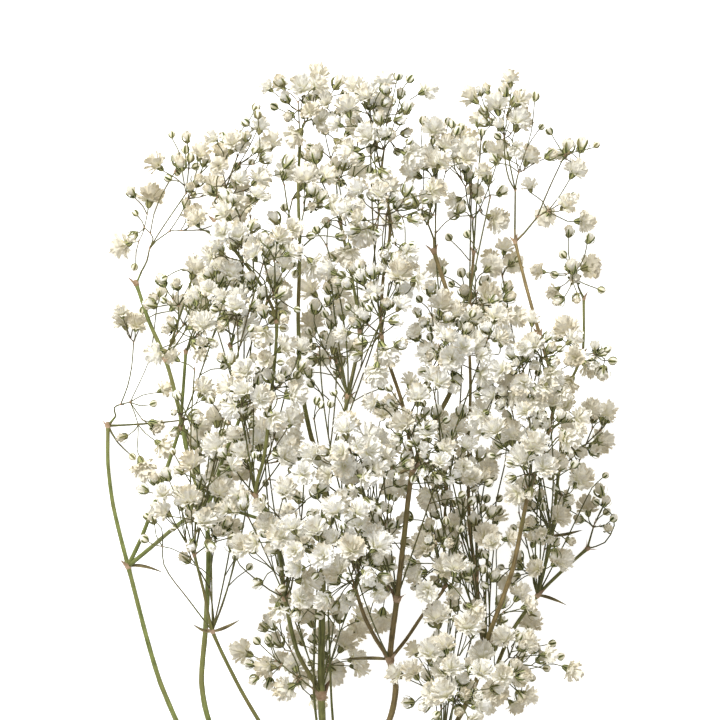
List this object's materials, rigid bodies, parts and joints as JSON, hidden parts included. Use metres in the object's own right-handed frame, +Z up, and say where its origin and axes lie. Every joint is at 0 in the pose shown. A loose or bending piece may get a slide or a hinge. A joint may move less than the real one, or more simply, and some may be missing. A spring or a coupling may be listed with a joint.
{
  "type": "dried gypsophila stem",
  "caption": "Cut stem of dried double gypsophila lying on its side: thin forked branches end in open sprays of small layered cream blooms and buds.",
  "frame": {"origin": "on the surface that the stem lies on, under the middle of the whole plant seen from above", "axes": "+Y along the stem from the cut end to the flowers, +Z up from the surface, +X across the stem to the right as seen from above"},
  "size_m": [0.1737, 0.4018, 0.0876],
  "materials": {
    "green_stem": "dry, matt",
    "olive_stem": "dry, matt",
    "brown_stem": "dry, matt",
    "dried_bloom": "dry, matt"
  },
  "bodies": {
    "root": {"stem_main": "olive_stem", "branch_left": "green_stem", "branch_left_back": "green_stem", "branch_left_low": "olive_stem", "branch_centre_left": "olive_stem", "branch_brown": "brown_stem", "branch_right": "brown_stem", "branch_right_outer": "olive_stem", "spray_left_rest": "dried_bloom", "spray_left_tip": "dried_bloom", "spray_left_green": "dried_bloom", "spray_left_mid": "dried_bloom", "spray_left_cross": "dried_bloom", "spray_cross_up": "dried_bloom", "spray_dark": "dried_bloom", "spray_dark_top": "dried_bloom", "spray_left_low": "dried_bloom", "spray_leaf_node": "dried_bloom", "spray_red": "dried_bloom", "spray_olive": "dried_bloom", "spray_olive_right": "dried_bloom", "spray_base_left": "dried_bloom", "spray_base_centre": "dried_bloom", "spray_clump": "dried_bloom", "spray_clump_right": "dried_bloom", "spray_arm": "dried_bloom", "spray_brown_side": "dried_bloom", "spray_red_bract": "dried_bloom", "spray_right_low": "dried_bloom", "spray_right_low_top": "dried_bloom", "spray_base_right": "dried_bloom", "spray_base_front": "dried_bloom", "spray_base_outer": "dried_bloom", "spray_base_far": "dried_bloom", "spray_pink_low": "dried_bloom", "spray_right_node": "dried_bloom", "spray_right_mid": "dried_bloom", "spray_up_knot": "dried_bloom", "spray_outer_node": "dried_bloom", "spray_right_rest": "dried_bloom", "spray_up_low": "dried_bloom", "spray_up_high": "dried_bloom", "spray_up_top": "dried_bloom", "spray_right_upper": "dried_bloom", "spray_right_top": "dried_bloom", "spray_right_crown": "dried_bloom", "spray_inner_top": "dried_bloom", "spray_inner": "dried_bloom", "spray_brown_top": "dried_bloom", "spray_brown_knot": "dried_bloom", "spray_far_top": "dried_bloom", "spray_far_mid": "dried_bloom", "spray_pink": "dried_bloom", "spray_top": "dried_bloom", "spray_upper": "dried_bloom", "spray_upper_right": "dried_bloom", "spray_top_left": "dried_bloom", "spray_centre_left": "dried_bloom", "spray_centre": "dried_bloom"}
  },
  "joints": []
}
